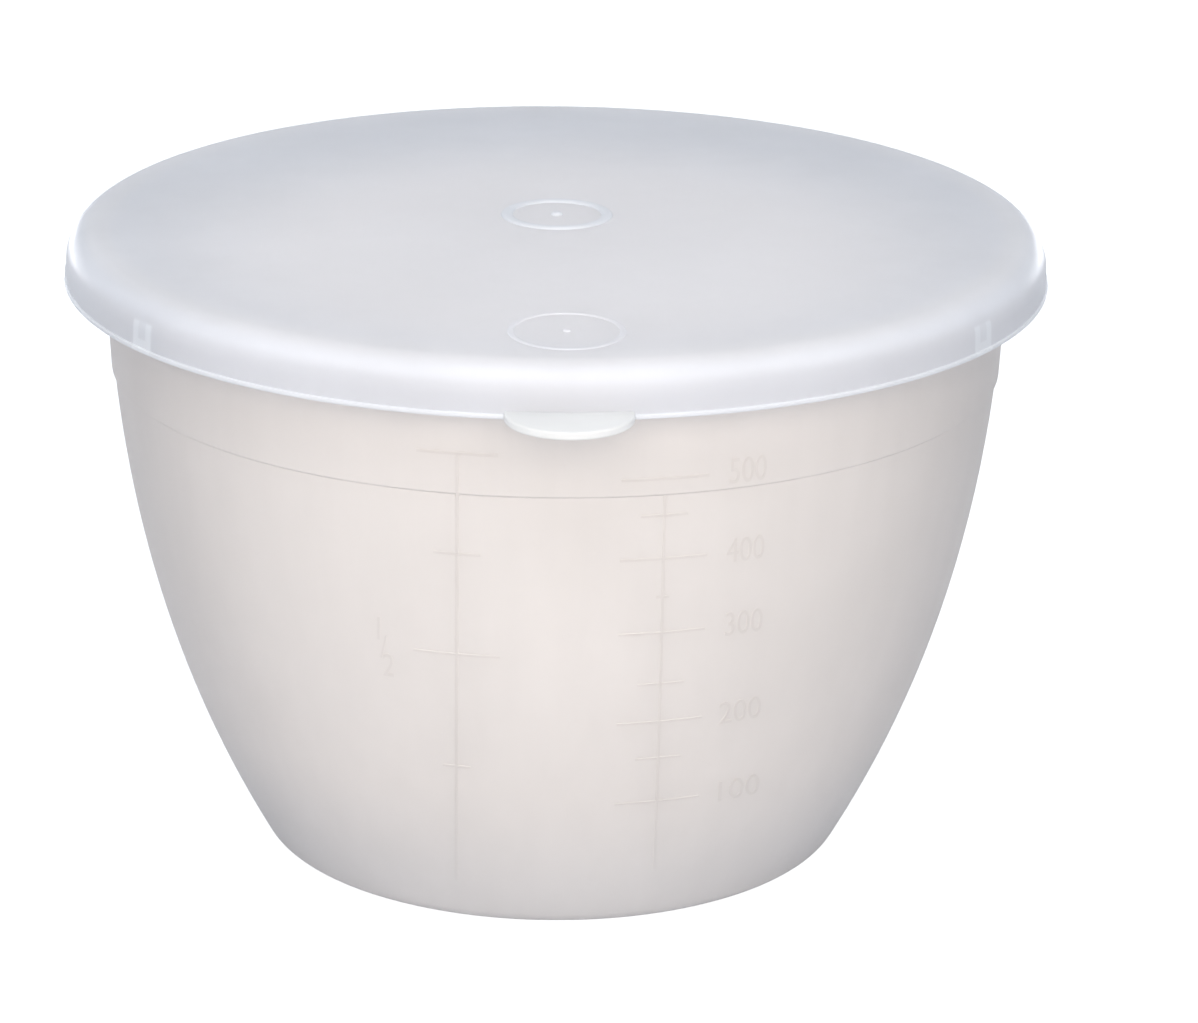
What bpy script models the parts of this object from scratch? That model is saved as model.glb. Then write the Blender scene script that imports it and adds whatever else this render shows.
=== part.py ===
"""Pudding basin with a push-on lid, two thin-walled mouldings in translucent plastic.

Both pieces are turned about the Z axis. The origin is the middle of the foot's
underside, and the lid's lifting tab points along -Y.
"""

import math

import bmesh
import bpy
from mathutils import Matrix, Vector

MM = 0.001

# Basin
FOOT_RADIUS = 37.4 * MM
FOOT_FILLET = 3.5 * MM
FLOOR_THICKNESS = 1.5 * MM
FLOOR_FILLET = 5.0 * MM
WALL = 1.2 * MM
WALL_LEAN_AT_FOOT = math.radians(29.4)
WALL_LEAN_AT_STEP = math.radians(5.25)
STEP_RADIUS = 57.25 * MM
BASIN_HEIGHT = 81.25 * MM
COLLAR_HEIGHT = 17.0 * MM
COLLAR_STEP = 0.35 * MM
COLLAR_LEAN = math.radians(3.2)
RIM_WIDTH = 2.7 * MM
RIM_THICKNESS = 1.5 * MM
MOUTH_ROUNDING = 0.45 * MM

# Lid
LID_CLEARANCE = 0.3 * MM
LID_WALL = 1.0 * MM
LID_TOP_THICKNESS = 1.2 * MM
LID_CROWN = 0.5 * MM
SHOULDER_RADIUS = 4.0 * MM
SKIRT_HEIGHT = 6.95 * MM
SKIRT_DRAFT = math.radians(1.5)
LIP_STANDOUT = 0.25 * MM
LIP_HEIGHT = 0.6 * MM
TAB_RADIUS = 7.8 * MM
TAB_THICKNESS = 1.0 * MM
TAB_ROUNDING = 0.25 * MM

# Snap lugs inside the lid's skirt, at turns measured from the tab
LUG_TURNS = [math.radians(turn) for turn in (-55.0, 55.0, 180.0)]
LUG_DEPTH = 0.8 * MM
LUG_WIDTH = 3.6 * MM
LUG_LEAD = 0.7 * MM
LUG_FOOT_GAP = 0.65 * MM

# Raised rings on the lid, one in its middle and one in from the tab, each round a small boss
CENTRE_RING_RADIUS = 7.1 * MM
CENTRE_RING_WIDTH = 0.9 * MM
CENTRE_RING_HEIGHT = 0.45 * MM
CENTRE_BOSS_RADIUS = 0.9 * MM
FRONT_RING_RADIUS = 7.1 * MM
FRONT_RING_WIDTH = 0.5 * MM
FRONT_RING_HEIGHT = 0.25 * MM
FRONT_BOSS_RADIUS = 0.6 * MM
FRONT_RING_INSET = 13.75 * MM
BOSS_RISE_OVER_RING = 0.1 * MM

# Fineness of the round shapes
TURN_SEGMENTS = 72
RING_SEGMENTS = 32
BOSS_SEGMENTS = 12
TAB_SEGMENTS = 24
EDGE_STEPS = 3
FOOT_STEPS = 4
SHOULDER_STEPS = 6
WALL_STEPS = 10
CROWN_STEPS = 4

# Sizes that follow from the ones above
STEP_HEIGHT = BASIN_HEIGHT - COLLAR_HEIGHT
RIM_UNDERSIDE = BASIN_HEIGHT - RIM_THICKNESS
COLLAR_FOOT_HEIGHT = STEP_HEIGHT + COLLAR_STEP / 2
COLLAR_TOP_RADIUS = STEP_RADIUS + COLLAR_STEP + (RIM_UNDERSIDE - COLLAR_FOOT_HEIGHT) * math.tan(COLLAR_LEAN)
RIM_RADIUS = COLLAR_TOP_RADIUS + RIM_WIDTH
RIM_TOP_ROUNDING = 0.7 * RIM_THICKNESS
RIM_UNDER_ROUNDING = 0.2 * RIM_THICKNESS
LID_INNER_RADIUS = RIM_RADIUS + LID_CLEARANCE + LUG_DEPTH
SKIRT_RADIUS = LID_INNER_RADIUS + LID_WALL
LIP_RADIUS = SKIRT_RADIUS + LIP_STANDOUT
LIP_ROUNDING = 0.8 * LIP_STANDOUT
INNER_SHOULDER_RADIUS = RIM_TOP_ROUNDING + LID_CLEARANCE + LUG_DEPTH
LID_UNDERSIDE = BASIN_HEIGHT + LID_CLEARANCE
LID_EDGE_TOP = LID_UNDERSIDE + LID_TOP_THICKNESS
SKIRT_BOTTOM = LID_EDGE_TOP - SKIRT_HEIGHT
SHOULDER_CORNER_RADIUS = SKIRT_RADIUS - SKIRT_HEIGHT * math.tan(SKIRT_DRAFT)
CROWN_RADIUS = SHOULDER_CORNER_RADIUS - SHOULDER_RADIUS
LUG_FOOT = SKIRT_BOTTOM + LUG_FOOT_GAP
LUG_TOP = RIM_UNDERSIDE - LID_CLEARANCE
RING_SINK = LID_TOP_THICKNESS / 3


def point(radius, height):
    """A point of a turned section."""
    return Vector((radius, height))


def leaning(lean):
    """The direction that rises along a line leaning outwards by this angle."""
    return Vector((math.sin(lean), math.cos(lean)))


def cross(a, b):
    """The signed area spanned by two directions of a section."""
    return a.x * b.y - a.y * b.x


def rounded(before, corner, after, radius, steps=EDGE_STEPS):
    """Points of the arc that rounds a corner of a section."""
    arriving = (before - corner).normalized()
    leaving = (after - corner).normalized()
    half = math.acos(arriving.dot(leaving)) / 2
    centre = corner + (arriving + leaving).normalized() * (radius / math.sin(half))
    reach = radius / math.tan(half)
    first = corner + arriving * reach - centre
    last = corner + leaving * reach - centre
    sweep = math.atan2(cross(first, last), first.dot(last))
    return [centre + Matrix.Rotation(sweep * i / steps, 2) @ first for i in range(steps + 1)]


def wall_line(flat_height, foot_radius, fillet, top):
    """A wall's line from its flat, round the fillet and up one quadratic curve to top.

    foot_radius is where the wall would meet the flat without the fillet.
    """
    corner = point(foot_radius, flat_height)
    rise = leaning(WALL_LEAN_AT_FOOT)
    arc = rounded(point(0, flat_height), corner, corner + rise, fillet, FOOT_STEPS)
    start = arc[-1]
    finish = leaning(WALL_LEAN_AT_STEP)
    reach = cross(top - start, finish) / cross(rise, finish)
    control = start + rise * reach
    curve = []
    for i in range(1, WALL_STEPS + 1):
        t = i / WALL_STEPS
        curve.append(start * (1 - t) ** 2 + control * (2 * t * (1 - t)) + top * t ** 2)
    return arc + curve


def placed(name, mesh):
    """Put a mesh in the scene as an object of its own."""
    thing = bpy.data.objects.new(name, mesh)
    bpy.context.collection.objects.link(thing)
    return thing


def turned(name, section, closed, segments):
    """Turn a section about Z: an open one ends on the axis, a closed one stays clear of it."""
    mesh = bpy.data.meshes.new(name)
    bm = bmesh.new()
    verts = [bm.verts.new((p.x, 0, p.y)) for p in section]
    following = verts[1:] + verts[:1] if closed else verts[1:]
    edges = [bm.edges.new(pair) for pair in zip(verts, following)]
    bmesh.ops.spin(
        bm,
        geom=verts + edges,
        cent=(0, 0, 0),
        axis=(0, 0, 1),
        angle=math.tau,
        steps=segments,
        use_merge=True,
    )
    bmesh.ops.remove_doubles(bm, verts=bm.verts, dist=0.001 * MM)
    bmesh.ops.recalc_face_normals(bm, faces=bm.faces)
    bm.to_mesh(mesh)
    bm.free()
    return placed(name, mesh)


def extruded(name, outline, low, high):
    """A solid that runs from low to high along Z over an outline in the XY plane."""
    mesh = bpy.data.meshes.new(name)
    bm = bmesh.new()
    bottom = bm.faces.new([bm.verts.new((p.x, p.y, low)) for p in outline])
    swept = bmesh.ops.extrude_face_region(bm, geom=[bottom], use_keep_orig=True)
    risen = [part for part in swept["geom"] if isinstance(part, bmesh.types.BMVert)]
    bmesh.ops.translate(bm, verts=risen, vec=(0, 0, high - low))
    bmesh.ops.recalc_face_normals(bm, faces=bm.faces)
    bm.to_mesh(mesh)
    bm.free()
    return placed(name, mesh)


def join_piece(thing, piece):
    """Join a piece to a solid as one body, and keep the piece as a hidden guide."""
    union = thing.modifiers.new(piece.name, "BOOLEAN")
    union.operation = "UNION"
    union.object = piece
    piece.hide_render = True
    piece.display_type = "WIRE"


def finish_round(thing):
    """Shade round faces smooth and keep real edges sharp."""
    thing.data.shade_smooth()
    thing.data.set_sharp_from_angle(angle=math.radians(30))


def give_plastic(thing, name, colour, roughness):
    """Give a piece its own translucent plastic."""
    material = bpy.data.materials.new(name)
    material.use_nodes = True
    shader = material.node_tree.nodes["Principled BSDF"]
    shader.inputs["Base Color"].default_value = (*colour, 1.0)
    shader.inputs["Roughness"].default_value = roughness
    shader.inputs["Metallic"].default_value = 0.0
    shader.inputs["IOR"].default_value = 1.49
    material.diffuse_color = (*colour, 1.0)
    thing.data.materials.append(material)


def basin_section():
    """The basin's section, from the middle of its underside round to the middle of its floor."""
    step = point(STEP_RADIUS, STEP_HEIGHT)
    outside = wall_line(0, FOOT_RADIUS, FOOT_FILLET, step)
    collar_foot = point(STEP_RADIUS + COLLAR_STEP, COLLAR_FOOT_HEIGHT)
    collar_top = point(COLLAR_TOP_RADIUS, RIM_UNDERSIDE)
    rim_low = point(RIM_RADIUS, RIM_UNDERSIDE)
    rim_high = point(RIM_RADIUS, BASIN_HEIGHT)

    # The inside of the wall lies one thickness in from its outside
    lean = WALL_LEAN_AT_STEP
    inner_step = point(STEP_RADIUS - WALL * math.cos(lean), STEP_HEIGHT + WALL * math.sin(lean))
    mouth_height = BASIN_HEIGHT - inner_step.y
    mouth = point(inner_step.x + mouth_height * math.tan(COLLAR_LEAN), BASIN_HEIGHT)
    foot_slope = math.tan(WALL_LEAN_AT_FOOT)
    foot_width = WALL / math.cos(WALL_LEAN_AT_FOOT)
    inner_foot_radius = FOOT_RADIUS + FLOOR_THICKNESS * foot_slope - foot_width
    inside = wall_line(FLOOR_THICKNESS, inner_foot_radius, FLOOR_FILLET, inner_step)

    return [
        point(0, 0),
        *outside,
        collar_foot,
        *rounded(collar_foot, collar_top, rim_low, WALL),
        *rounded(collar_top, rim_low, rim_high, RIM_UNDER_ROUNDING),
        *rounded(rim_low, rim_high, mouth, RIM_TOP_ROUNDING),
        *rounded(rim_high, mouth, inner_step, MOUTH_ROUNDING),
        *reversed(inside),
        point(0, FLOOR_THICKNESS),
    ]


def crown_height(radius):
    """How far the lid's crowned top rises above its shoulder at a radius."""
    return LID_CROWN * (1 - (radius / CROWN_RADIUS) ** 2)


def crown_line(shoulder_height):
    """The crown's line from the axis to just short of the shoulder."""
    radii = [CROWN_RADIUS * i / CROWN_STEPS for i in range(CROWN_STEPS)]
    return [point(radius, shoulder_height + crown_height(radius)) for radius in radii]


def lid_section():
    """The lid's section, from the middle of its underside round to the middle of its top."""
    crown_edge = point(CROWN_RADIUS, LID_UNDERSIDE)
    inner_corner = point(LID_INNER_RADIUS, LID_UNDERSIDE)
    inner_edge = point(LID_INNER_RADIUS, SKIRT_BOTTOM)
    lip_low = point(LIP_RADIUS, SKIRT_BOTTOM)
    lip_high = point(LIP_RADIUS, SKIRT_BOTTOM + LIP_HEIGHT)
    skirt_foot = point(SKIRT_RADIUS, SKIRT_BOTTOM + LIP_HEIGHT)
    shoulder_corner = point(SHOULDER_CORNER_RADIUS, LID_EDGE_TOP)
    top_centre = point(0, LID_EDGE_TOP)
    return [
        *crown_line(LID_UNDERSIDE),
        crown_edge,
        *rounded(crown_edge, inner_corner, inner_edge, INNER_SHOULDER_RADIUS),
        inner_edge,
        *rounded(inner_edge, lip_low, lip_high, LIP_ROUNDING),
        *rounded(lip_low, lip_high, skirt_foot, LIP_ROUNDING),
        skirt_foot,
        *rounded(skirt_foot, shoulder_corner, top_centre, SHOULDER_RADIUS, SHOULDER_STEPS),
        *reversed(crown_line(LID_EDGE_TOP)),
    ]


def tab_outline():
    """The tab's outline: an arc round a point of the skirt, closed along the skirt's middle."""
    carrier = SKIRT_RADIUS - LID_WALL / 2
    middle = Vector((0, -SKIRT_RADIUS))
    # Where the tab's circle crosses the circle in the middle of the skirt's wall
    depth = (carrier ** 2 - TAB_RADIUS ** 2 + middle.y ** 2) / (2 * SKIRT_RADIUS)
    half_width = math.sqrt(carrier ** 2 - depth ** 2)
    start = math.atan2(SKIRT_RADIUS - depth, half_width)
    outline = []
    for i in range(TAB_SEGMENTS + 1):
        turn = start - (math.pi + 2 * start) * i / TAB_SEGMENTS
        outline.append(middle + TAB_RADIUS * Vector((math.cos(turn), math.sin(turn))))
    swing = math.asin(half_width / carrier)
    inner_steps = TAB_SEGMENTS // 4
    for i in range(1, inner_steps):
        turn = -swing + 2 * swing * i / inner_steps
        outline.append(carrier * Vector((math.sin(turn), -math.cos(turn))))
    return outline


def make_tab():
    """The lifting tab, level with the skirt's bottom edge."""
    tab = extruded("lid_tab", tab_outline(), SKIRT_BOTTOM, SKIRT_BOTTOM + TAB_THICKNESS)
    soft_edge = tab.modifiers.new("soft_edge", "BEVEL")
    soft_edge.width = TAB_ROUNDING
    soft_edge.segments = 2
    soft_edge.limit_method = "ANGLE"
    soft_edge.angle_limit = math.radians(60)
    return tab


def make_lug(name, turn):
    """A snap lug inside the skirt, with a sloping lead at its foot."""
    tip = LID_INNER_RADIUS - LUG_DEPTH
    root = LID_INNER_RADIUS + LID_WALL / 2
    section = [
        point(root, LUG_FOOT),
        point(root, LUG_TOP),
        point(tip, LUG_TOP),
        point(tip, LUG_FOOT + LUG_LEAD),
        point(LID_INNER_RADIUS, LUG_FOOT),
    ]
    lug = extruded(name, section, -LUG_WIDTH / 2, LUG_WIDTH / 2)
    # Stand the section up along +X, then swing it to its place round from the tab
    upright = Matrix.Rotation(math.pi / 2, 4, "X")
    lug.data.transform(Matrix.Rotation(turn - math.pi / 2, 4, "Z") @ upright)
    return lug


def make_ring(name, radius, width, height):
    """A raised ring round Z, sunk a little below height zero."""
    section = [
        point(radius, -RING_SINK),
        point(radius, height),
        point(radius - width, height),
        point(radius - width, -RING_SINK),
    ]
    return turned(name, section, True, RING_SEGMENTS)


def make_boss(name, radius, height):
    """A raised round boss on Z, sunk a little below height zero."""
    section = [point(0, -RING_SINK), point(radius, -RING_SINK), point(radius, height), point(0, height)]
    return turned(name, section, False, BOSS_SEGMENTS)


def stand_on_crown(piece, distance):
    """Stand a piece on the lid's crown, square to it, at a distance from the middle towards the tab."""
    slope = 2 * LID_CROWN * distance / CROWN_RADIUS ** 2
    piece.rotation_euler.x = math.atan(slope)
    piece.location = (0, -distance, LID_EDGE_TOP + crown_height(distance))


def make_basin():
    """The basin, open at its mouth."""
    basin = turned("basin", basin_section(), False, TURN_SEGMENTS)
    finish_round(basin)
    give_plastic(basin, "basin_plastic", (0.84, 0.81, 0.79), 0.38)
    return basin


def make_lid():
    """The lid, with its tab, snap lugs and raised rings, over the basin's rim."""
    lid = turned("lid", lid_section(), False, TURN_SEGMENTS)
    join_piece(lid, make_tab())
    for i, turn in enumerate(LUG_TURNS, start=1):
        join_piece(lid, make_lug(f"lid_lug_{i}", turn))

    centre_ring = make_ring("centre_ring", CENTRE_RING_RADIUS, CENTRE_RING_WIDTH, CENTRE_RING_HEIGHT)
    centre_boss = make_boss("centre_boss", CENTRE_BOSS_RADIUS, CENTRE_RING_HEIGHT + BOSS_RISE_OVER_RING)
    front_ring = make_ring("front_ring", FRONT_RING_RADIUS, FRONT_RING_WIDTH, FRONT_RING_HEIGHT)
    front_boss = make_boss("front_boss", FRONT_BOSS_RADIUS, FRONT_RING_HEIGHT + BOSS_RISE_OVER_RING)
    places = ((centre_ring, 0), (centre_boss, 0))
    front_distance = SKIRT_RADIUS - FRONT_RING_INSET
    places += ((front_ring, front_distance), (front_boss, front_distance))
    for piece, distance in places:
        stand_on_crown(piece, distance)
        join_piece(lid, piece)

    finish_round(lid)
    give_plastic(lid, "lid_plastic", (0.80, 0.83, 0.87), 0.32)
    return lid


def main():
    """Clear the scene and build both pieces."""
    for thing in list(bpy.data.objects):
        bpy.data.objects.remove(thing)
    make_basin()
    make_lid()


main()
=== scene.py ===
"""Pudding basin with a push-on lid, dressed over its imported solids.

The file is laid out as an add-on with one operator for each piece or group of like pieces.
Run as a script, it makes every piece in turn and leaves the scene ready to render.
"""

import math
from contextlib import contextmanager

import bmesh
import bpy
from bpy.props import FloatProperty, FloatVectorProperty, IntProperty, PointerProperty, StringProperty
from mathutils import Matrix, Vector


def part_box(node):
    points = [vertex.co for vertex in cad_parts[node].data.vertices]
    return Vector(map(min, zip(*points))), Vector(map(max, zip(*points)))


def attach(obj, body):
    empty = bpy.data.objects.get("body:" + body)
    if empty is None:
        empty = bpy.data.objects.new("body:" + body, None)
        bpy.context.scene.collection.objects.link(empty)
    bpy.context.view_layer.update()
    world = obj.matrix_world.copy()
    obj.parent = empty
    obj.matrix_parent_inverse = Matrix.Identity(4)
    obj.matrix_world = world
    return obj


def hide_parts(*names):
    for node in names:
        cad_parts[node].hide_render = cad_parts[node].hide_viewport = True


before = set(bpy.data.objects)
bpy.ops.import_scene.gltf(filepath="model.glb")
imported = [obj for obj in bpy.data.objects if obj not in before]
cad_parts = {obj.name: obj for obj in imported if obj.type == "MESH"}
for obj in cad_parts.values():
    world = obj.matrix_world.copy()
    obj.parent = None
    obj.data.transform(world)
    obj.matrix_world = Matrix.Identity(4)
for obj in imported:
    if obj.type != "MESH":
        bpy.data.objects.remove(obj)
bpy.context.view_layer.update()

bl_info = {
    "name": "Pudding Basin",
    "version": (1, 0, 0),
    "blender": (4, 5, 0),
    "location": "View3D > Sidebar > Pudding Basin",
    "description": "Builds a translucent plastic pudding basin, its push-on lid and its raised scale",
    "category": "Object",
}

MM = 0.001
UPRIGHT = math.radians(90)
BASIN_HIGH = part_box("basin")[1]
LID_LOW, LID_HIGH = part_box("lid")

# How finely round shapes are cut
FILLET_STEPS = 10
WALL_STEPS = 40
FLAT_STEPS = 8
CROWN_STEPS = 24
RING_STEPS = 128
BEAD_STEPS = 16
BOSS_SEGMENTS = 24
# Points that lie closer than this become one
SECTION_WELD = 0.001 * MM
FIGURE_WELD = 0.002 * MM
# How far off the rays start that lay a mark on a surface
RAY_REACH = 200 * MM
# How deep the scale's lines and figures are rooted in the wall
SCALE_SINK = 0.15 * MM

# Patterns in the plastic, as repeats in a metre
CLOUD_SCALE = 38.0
FLOW_SCALE = (260.0, 260.0, 18.0)
PATCH_SCALE = 120.0
GRAIN_SCALE = 2600.0
GRAIN_STRENGTH = 0.25
# Share of the clouds in the mottling; the flow marks have the rest
CLOUD_SHARE = 0.7
# The range that nearly all of a smooth noise lies in
NOISE_RANGE = (0.3, 0.7)
ROUGHNESS_CHANGE = (-0.04, 0.05)
PLASTIC_IOR = 1.49
# Height of the painted shade at the basin's foot, as a share of the basin's own
FOOT_SHADE_SHARE = 0.3
# Density of the lid's small thick pieces, as a share of that of its thick places
THICK_SHARE = 0.3
# Where the lid's painted shade towards its edge starts, as a share of its radius, and how strong it and the
# lip's painted highlight get
EDGE_SHADE_START = 0.45
EDGE_SHADE_SHARE = 0.65
LIP_HIGHLIGHT_SHARE = 0.6
# Where the skirt's painted shade starts below the crown's edge
SKIRT_SHADE_FADE = 1.5 * MM
# Heights above the skirt's foot between which the lip's painted highlight fades
LIP_HIGHLIGHT_FADE = (0.5 * MM, 0.8 * MM)

WHITE = (1.0, 1.0, 1.0)
# Brightness that the camera sees in the floor on top of its lit paint
FLOOR_LIFT = 0.88
LIGHT_AIM = Vector((0.0, 0.0, 0.05))
NODE_SPACING = 220


# Sizes and colours

def length(name, default, description):
    """A length that the user can change."""
    shown = {"precision": 5, "subtype": "DISTANCE", "unit": "LENGTH"}
    return FloatProperty(name=name, default=default, description=description, min=0.0, **shown)


def angle(name, degrees, description):
    """An angle that the user can change."""
    shown = {"subtype": "ANGLE", "unit": "ROTATION"}
    return FloatProperty(name=name, default=math.radians(degrees), description=description, **shown)


def share(name, default, description):
    """A share between nothing and all."""
    shown = {"min": 0.0, "max": 1.0, "subtype": "FACTOR"}
    return FloatProperty(name=name, default=default, description=description, **shown)


def colour(name, default, description):
    """A colour that the user can change."""
    shown = {"size": 3, "min": 0.0, "max": 1.0, "subtype": "COLOR"}
    return FloatVectorProperty(name=name, default=default, description=description, **shown)


def lamp_power(name, default, description):
    """The power of a lamp, in watts."""
    return FloatProperty(name=name, default=default, description=description, min=0.0, unit="POWER")


class BasinSizes(bpy.types.PropertyGroup):
    """Sizes of the basin's section."""

    height: length("Height", BASIN_HIGH.z, "From the foot to the top of the rim")
    foot_radius: length("Foot Radius", 37.4 * MM, "Where the wall would meet the table without its rounding")
    foot_fillet: length("Foot Rounding", 3.5 * MM, "Radius between the foot and the wall")
    floor_thickness: length("Floor Thickness", 1.5 * MM, "Thickness of the floor")
    floor_fillet: length("Floor Rounding", 5.0 * MM, "Radius between the floor and the wall inside")
    wall: length("Wall", 1.2 * MM, "Thickness of the wall")
    foot_lean: angle("Lean At Foot", 29.4, "How far the wall leans outwards at the foot")
    step_lean: angle("Lean At Step", 5.25, "How far the wall leans outwards under the collar")
    step_radius: length("Step Radius", 57.25 * MM, "Radius of the wall where the collar starts")
    collar_height: length("Collar Height", 17.25 * MM, "From the step to the top of the rim")
    collar_step: length("Collar Step", 0.35 * MM, "How far the collar stands out from the wall")
    collar_taper: length("Collar Taper", 0.3 * MM, "Height over which the collar stands out")
    collar_rounding: length("Collar Rounding", 0.2 * MM, "Rounding of the collar's lower edge")
    collar_lean: angle("Collar Lean", 3.2, "How far the collar leans outwards")
    rim_radius: length("Rim Radius", BASIN_HIGH.x, "Radius of the rim's outer edge")
    rim_thickness: length("Rim Thickness", 1.5 * MM, "Thickness of the rim")
    mouth_rounding: length("Mouth Rounding", 0.45 * MM, "Rounding of the mouth's inner edge")
    segments: IntProperty(name="Segments", default=256, min=24, description="Faces once round each piece")


class LidSizes(bpy.types.PropertyGroup):
    """Sizes of the lid, its tab and its lugs."""

    lip_radius: length("Lip Radius", LID_HIGH.x, "Radius of the thin lip along the skirt's foot")
    skirt_bottom: length("Skirt Bottom", LID_LOW.z, "Height of the skirt's foot above the table")
    skirt_height: length("Skirt Height", 6.6 * MM, "From the skirt's foot to the edge of the crown")
    crown: length("Crown", 0.97 * MM, "How far the top rises in its middle")
    top_thickness: length("Top Thickness", 1.2 * MM, "Thickness of the crowned top")
    wall: length("Skirt Thickness", 1.0 * MM, "Thickness of the skirt")
    shoulder: length("Shoulder", 4.0 * MM, "Radius between the crown and the skirt")
    inner_shoulder: length("Inner Shoulder", 2.15 * MM, "Radius between the crown and the skirt inside")
    draft: angle("Draft", 1.5, "How far the skirt leans outwards towards its foot")
    lip_standout: length("Lip Standout", 0.25 * MM, "How far the lip stands out from the skirt")
    lip_height: length("Lip Height", 0.6 * MM, "Height of the lip")
    tab_radius: length("Tab Radius", 7.8 * MM, "Radius of the lifting tab's edge")
    tab_thickness: length("Tab Thickness", 1.0 * MM, "Thickness of the lifting tab")
    tab_rounding: length("Tab Rounding", 0.3 * MM, "Rounding of the tab's edges")
    lug_depth: length("Lug Depth", 0.8 * MM, "How far a lug stands in from the skirt")
    lug_width: length("Lug Width", 3.6 * MM, "Width of a lug round the skirt")
    lug_foot: length("Lug Foot", 76.45 * MM, "Height of a lug's foot above the table")
    lug_top: length("Lug Top", 79.45 * MM, "Height of a lug's top above the table")
    lug_rib: length("Lug Rib", 0.85 * MM, "Width of the rib round a lug's pocket")
    lug_pocket: length("Lug Pocket", 0.4 * MM, "Depth of the pocket in a lug")
    lug_spread: angle("Lug Spread", 55.0, "Turn between the tab and the lugs on each side of it")


class RingSizes(bpy.types.PropertyGroup):
    """Sizes of the raised rings on the lid."""

    radius: length("Ring Radius", 7.2 * MM, "Outer radius of both rings")
    centre_width: length("Centre Ring Width", 1.5 * MM, "Width of the middle ring's line")
    centre_relief: length("Centre Ring Relief", 0.32 * MM, "How far the middle ring is raised")
    centre_boss: length("Centre Boss Radius", 0.75 * MM, "Radius of the small boss in the middle ring")
    front_width: length("Front Ring Width", 0.8 * MM, "Width of the front ring's line")
    front_relief: length("Front Ring Relief", 0.15 * MM, "How far the front ring is raised")
    front_boss: length("Front Boss Radius", 0.5 * MM, "Radius of the small boss in the front ring")
    front_distance: length("Front Ring Distance", 49.5 * MM, "From the lid's middle to the ring's middle")
    boss_rise: length("Boss Rise", 0.1 * MM, "How far a boss is raised over its ring")


class ScaleSizes(bpy.types.PropertyGroup):
    """Sizes of the raised measuring scale on the wall."""

    turn: angle("Turn", -0.7, "Turn of the scale's middle from the tab")
    half_gap: length("Half Gap", 12.5 * MM, "From the scale's middle to each upright line")
    line_width: length("Line Width", 0.6 * MM, "Width of a line at the wall")
    relief: length("Relief", 0.06 * MM, "How far lines and figures are raised")
    figure_height: length("Figure Size", 4.7 * MM, "Size of the figures' lettering")
    figure_width: share("Figure Width", 0.68, "Width of the figures as a share of the font's own")
    figure_offset: length("Figure Offset", 22.6 * MM, "From the scale's middle to the figures' middle")
    fraction_offset: length("Fraction Offset", 21.0 * MM, "From the scale's middle to the fraction's")
    quantities: StringProperty(
        name="Quantities",
        default="100 200 300 400 500",
        description="Plain figures beside the long lines, from the foot up",
    )


class BasinPlastic(bpy.types.PropertyGroup):
    """Look of the basin's milky plastic."""

    face: colour("Surface", (0.90, 0.872, 0.852), "Colour that the surface sends back")
    # Painted shade: darker and bluer near the foot, where the wall leans away from the lamps
    foot: colour("Foot", (0.81, 0.805, 0.81), "Surface colour near the foot")
    # Painted shade: a little darker than the wall, standing in for the shade of the raised lines
    marks: colour("Scale", (0.85, 0.822, 0.803), "Surface colour of the thicker scale")
    glow: colour("Glow", (0.97, 0.95, 0.94), "Colour of light that has passed through")
    glow_share: share("Glow Share", 0.28, "Share of the light that passes through the surface")
    clearness: share("Clearness", 0.05, "Share that passes through as through frosted glass")
    mottle: share("Mottle", 0.05, "Strength of the cloudy mottling")
    roughness: share("Roughness", 0.5, "Mean roughness of the satin surface")
    gloss: share("Gloss", 0.03, "Strength of the satin surface's reflections")
    grain: length("Grain", 0.02 * MM, "Depth of the fine moulded grain")


class LidPlastic(bpy.types.PropertyGroup):
    """Look of the lid's milky plastic."""

    face: colour("Surface", (0.98, 0.97, 0.985), "Colour that the surface sends back")
    # Painted shade: darker and bluer away from the lid's front, where the lamps light the crowned top less
    edge: colour("Edge", (0.735, 0.775, 0.84), "Surface colour towards the edge of the crowned top")
    # Painted shade: the sideways-facing skirt darker and bluer than the crowned top
    skirt: colour("Skirt", (0.78, 0.788, 0.82), "Surface colour of the skirt")
    # Painted highlight: paler at the lip, on the rings and over the lugs behind the skirt, where the plastic
    # is also denser
    thick: colour("Thick Places", (0.94, 0.965, 1.0), "Surface colour of the lip and rings and over the lugs")
    # Painted shade: a greyer, warmer copy of the lid's plastic for the tab
    tab: colour("Tab", (0.89, 0.888, 0.865), "Surface colour of the lifting tab")
    # Where the painted shade of the crowned top is lightest, shifted from the middle towards the lamps in
    # front
    painted_light_offset: length("Pale Offset", 15 * MM, "From the lid's middle to its palest place, towards the tab")
    glow: colour("Glow", (0.94, 0.96, 0.99), "Colour of light that has passed through")
    glow_share: share("Glow Share", 0.38, "Share of the light that passes through the surface")
    density: share("Density", 0.7, "Share of the glow that is lost where the plastic is thicker")
    clearness: share("Clearness", 0.3, "Share that passes through as through frosted glass")
    mottle: share("Mottle", 0.04, "Strength of the cloudy mottling")
    roughness: share("Roughness", 0.36, "Mean roughness of the satin surface")
    gloss: share("Gloss", 0.2, "Strength of the satin surface's reflections")
    grain: length("Grain", 0.015 * MM, "Depth of the fine moulded grain")


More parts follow.
